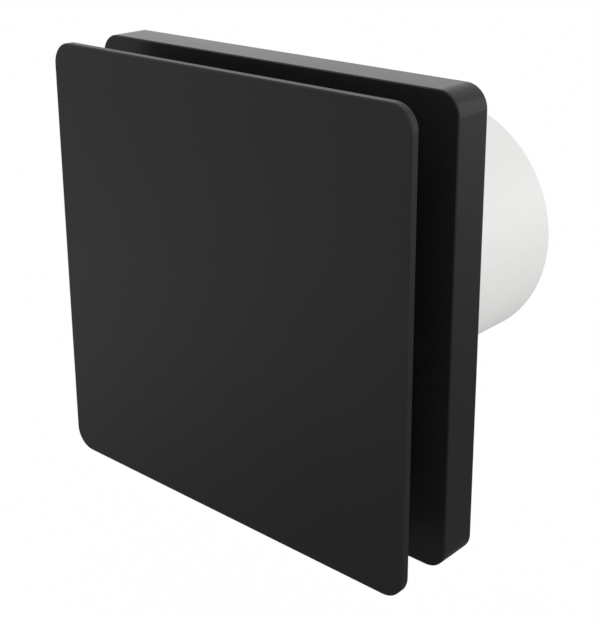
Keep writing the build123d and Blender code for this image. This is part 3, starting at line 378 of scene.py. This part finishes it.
WHITE_BODY = (0.785, 0.782, 0.767)
FINISHES = {
    "panel_black": (satin_black(PANEL_CORNER, 0.34), BLACK),
    "frame_black": (satin_black(FRAME_CORNER, 0.21), BLACK),
    "body_white": (moulded(WHITE_BODY, 0.36), PLAIN),
    "carrier_white": (moulded((0.78, 0.78, 0.76), 0.36), PLAIN),
    "shutter_white": (moulded((0.78, 0.78, 0.76), 0.34), PLAIN),
    "flap_grey": (moulded((0.62, 0.63, 0.64), 0.4, 0.0008), PLAIN),
    "impeller_grey": (moulded((0.66, 0.67, 0.68), 0.33, 0.0007, dust=0.1), PLAIN),
    "stud_black": (moulded((0.03, 0.03, 0.032), 0.42), PLAIN),
    "bush_nylon": (moulded((0.6, 0.59, 0.54), 0.38), PLAIN),
    "zinc_screw": (plated((0.66, 0.66, 0.64)), METAL),
    "bright_steel": (plated((0.7, 0.7, 0.7), 0.16), METAL),
    "spring_steel": (plated((0.5, 0.5, 0.5), 0.24), METAL),
    "bearing_steel": (polished((0.75, 0.75, 0.76)), METAL),
    "motor_case": (galvanised((0.58, 0.58, 0.57)), METAL),
    "core_steel": (laminated((0.3, 0.31, 0.33)), BARE),
    "rotor_steel": (cast((0.45, 0.45, 0.46)), METAL),
    "coil_copper": (wound((0.72, 0.3, 0.14)), METAL),
    "damper_rubber": (rubber((0.03, 0.03, 0.03)), SOFT),
    "grommet_rubber": (rubber((0.035, 0.035, 0.035)), SOFT),
    "terminal_nylon": (moulded((0.8, 0.79, 0.73), 0.4), PLAIN),
    "terminal_brass": (plated((0.75, 0.58, 0.28), 0.3), METAL),
    "cover_grey": (moulded((0.33, 0.34, 0.35), 0.42), PLAIN),
    "lead_brown": (moulded((0.2, 0.08, 0.04), 0.3, 0.001), PVC),
    "lead_blue": (moulded((0.04, 0.14, 0.42), 0.3, 0.001), PVC)}


def paint_nodes():
    """Each CAD node gets the finish of its own slot in the record."""
    made = {slot: new_finish(slot, surface, fixed) for slot, (surface, fixed) in FINISHES.items()}
    for part in frame["record"]["subparts"]:
        piece = frame["nodes"][part["node"]]
        piece.data.materials.clear()
        piece.data.materials.append(made[part["material_slot"]])


# ---- Studio --------------------------------------------------------------------------------------
WHITE = (1.0, 1.0, 1.0, 1.0)
ROOM_LIGHT = 0.9                # of the world, on the fan
PAINTED_DUSK = 0.13                     # painted dim glow of the floor near the fan, seen only in gloss
FLOOR_HALF = 6.0                # half of the floor's side
FLOOR_DROP = 0.11               # from the fan's lowest point to the floor
FLOOR_SHOWS = 0.97              # share of plain white over the lit paper
NEAR, FAR = 0.25, 1.3           # between them the floor grows bright in gloss
FAR_LIGHT = 0.68                # share of white that the far floor has in gloss
PAINTED_LIGHT_POOL = (-0.5, -0.40)      # middle of the painted light patch on the floor, in front of the panel, seen only in gloss
POOL_RIM, POOL_CORE = 0.55, 0.1     # its radius where it begins and where it is full
SOFT_BOX = 0.9                  # side of each lamp


def ray_kinds(bench):
    """1 for rays straight from the camera, by way of gloss and by way of glass."""
    rays = bench.add("ShaderNodeLightPath").socket.node
    names = ("Is Camera Ray", "Is Glossy Ray", "Is Transmission Ray")
    return [Wire(bench, rays.outputs[name]) for name in names]


def set_world():
    """White to the eye, and a little less bright on the fan."""
    world = bpy.data.worlds.new("studio")
    bpy.context.scene.world = world
    world.use_nodes = True
    bench = Bench(world.node_tree)
    camera, gloss, glass = ray_kinds(bench)
    room = bench.add("ShaderNodeBackground", None, {"Color": WHITE, "Strength": ROOM_LIGHT})
    backdrop = bench.add("ShaderNodeBackground", None, {"Color": WHITE, "Strength": 1.0})
    both = bench.add("ShaderNodeMixShader", None, {0: camera.most(gloss).most(glass), 1: room, 2: backdrop})
    bench.add("ShaderNodeOutputWorld", None, {"Surface": both})


def paint_floor(material):
    """Paper that is white to the eye. In gloss it shows painted light: dim near the fan, bright further out
    and in a patch in front of the panel, which paints the reflections on the fan.
    """
    material.use_nodes = True
    bench = Bench(material.node_tree)
    camera, gloss, glass = ray_kinds(bench)
    shade = bench.mix(bench.cloud(0.004, 3.0), (0.92, 0.92, 0.92), (0.94, 0.94, 0.94))
    paper = bench.add("ShaderNodeBsdfPrincipled", None, {"Base Color": shade, "Roughness": 0.85})
    white = bench.add("ShaderNodeEmission", None, {"Color": WHITE, "Strength": 1.0})
    # Painted reflections: for gloss the floor glows dim near the fan and brighter further out, with a
    # painted light patch in front of the panel where no lamp is.
    painted_dusk = bench.add("ShaderNodeEmission", None, {"Color": WHITE, "Strength": PAINTED_DUSK})
    x, y, _ = bench.axes()
    far = reach(x, y).between(NEAR, FAR) * FAR_LIGHT
    painted_pool = reach(x - PAINTED_LIGHT_POOL[0], y - PAINTED_LIGHT_POOL[1]).between(POOL_RIM, POOL_CORE)
    bright = far.most(painted_pool).most(camera).most(glass)
    seen = bench.add("ShaderNodeMixShader", None, {0: bright, 1: painted_dusk, 2: white})
    shows = camera.most(gloss).most(glass) * FLOOR_SHOWS
    both = bench.add("ShaderNodeMixShader", None, {0: shows, 1: paper, 2: seen})
    bench.add("ShaderNodeOutputMaterial", None, {"Surface": both})


def set_floor():
    """A wide pale floor some way below the fan."""
    half, level = FLOOR_HALF, CAD_BOX[0].z - FLOOR_DROP
    corners = [(-half, -half, level), (half, -half, level), (half, half, level), (-half, half, level)]
    mesh = bpy.data.meshes.new("floor")
    mesh.from_pydata(corners, [], [(0, 1, 2, 3)])
    floor = bpy.data.objects.new("floor", mesh)
    bpy.context.scene.collection.objects.link(floor)
    material = bpy.data.materials.new("floor")
    paint_floor(material)
    mesh.materials.append(material)


def set_lamp(name, place, aim, power):
    """A square soft box that shines from place towards aim."""
    light = bpy.data.lights.new(name, "AREA")
    light.size = SOFT_BOX
    light.energy = power
    lamp = bpy.data.objects.new(name, light)
    lamp.location = place
    lamp.rotation_euler = (Vector(aim) - Vector(place)).to_track_quat("-Z", "Y").to_euler()
    bpy.context.scene.collection.objects.link(lamp)


def set_lights():
    """Two lamps to the right of the fan, one in front and one behind, and one in front on the left."""
    middle = (CAD_BOX[0] + CAD_BOX[1]) / 2
    set_lamp("key", (1.1, -0.4, 0.8), middle, 1.8)
    set_lamp("back", (0.95, 1.15, 0.25), middle, 1.7)
    set_lamp("fill", (-1.1, -0.9, 0.6), middle, 1.7)


set_camera()
set_world()
set_floor()
set_lights()
paint_nodes()
bpy.context.scene.view_settings.view_transform = "Standard"
